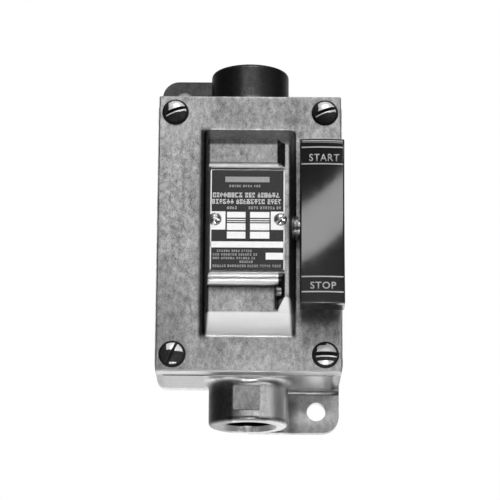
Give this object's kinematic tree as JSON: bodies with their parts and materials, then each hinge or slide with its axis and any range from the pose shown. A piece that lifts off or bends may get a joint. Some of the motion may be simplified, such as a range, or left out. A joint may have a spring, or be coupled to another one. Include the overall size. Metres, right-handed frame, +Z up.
{
  "type": "motor starter rocker control station",
  "caption": "Cast conduit enclosure with a momentary START/STOP rocker on a horizontal shaft, for a magnetic motor starter circuit.",
  "frame": {"origin": "centre of the back plane, midway between the two hubs", "axes": "+X to the viewer's right, +Y into the wall, +Z up along the conduit line"},
  "size_m": [0.0903, 0.0732, 0.1808],
  "materials": {
    "cast_body": "as-cast satin, fine mottle",
    "cast_cover": "as-cast satin, lightly rubbed",
    "screw_steel": "dull plated",
    "plate_metal": "etched, dark field with bright lines",
    "sintered": "sintered, oil filled",
    "phenolic": "moulded phenolic",
    "zinc_plate": "zinc plated",
    "copper": "silver-faced copper, stands in as brass",
    "brass_screw": "plated brass",
    "spring_steel": "bright drawn",
    "ground_paint": "green grounding screw",
    "black_plastic": "polished black moulding",
    "carriage_plastic": "red-brown moulding"
  },
  "bodies": {
    "enclosure": {"body_casting": "cast_body", "cover_casting": "cast_cover", "cover_screws": "screw_steel", "nameplate": "plate_metal", "nameplate_screws": "screw_steel", "pocket_screw": "screw_steel", "shaft_bushing": "sintered", "contact_block_base": "phenolic", "contact_block_cover": "phenolic", "block_cover_screws": "screw_steel", "mounting_plate": "zinc_plate", "plate_screws": "screw_steel", "block_screws": "screw_steel", "start_contact_left": "copper", "start_contact_right": "copper", "stop_contact_left": "copper", "stop_contact_right": "copper", "terminal_screws": "brass_screw", "terminal_clamps": "brass_screw", "upper_centring_spring": "spring_steel", "lower_centring_spring": "spring_steel", "ground_cup_washer": "brass_screw", "ground_screw": "ground_paint"},
    "rocker": {"rocker_handle": "black_plastic", "rocker_shaft": "spring_steel", "rocker_roll_pin": "spring_steel", "shaft_collar": "spring_steel", "shaft_retaining_ring": "spring_steel", "fork_arm": "zinc_plate", "fork_set_screw": "screw_steel"},
    "carriage": {"contact_carriage": "carriage_plastic", "drive_pin": "spring_steel", "start_bridge": "copper", "stop_bridge": "copper"}
  },
  "joints": [
    {"name": "rocker_pivot", "type": "hinge", "parent": "enclosure", "child": "rocker", "pos_m": [0, -0.056, 0], "axis": [1, 0, 0], "range_deg": [-8, 8], "stiffness_Nm_per_rad": 0.6},
    {"name": "carriage_slide", "type": "slide", "parent": "enclosure", "child": "carriage", "axis": [0, 0, 1], "range_m": [-0.0029, 0.0029], "deforming": ["upper_centring_spring", "lower_centring_spring"]}
  ],
  "couplings": [
    {"joint": "carriage_slide", "follows": "rocker_pivot", "m_per_rad": 0.02}
  ]
}
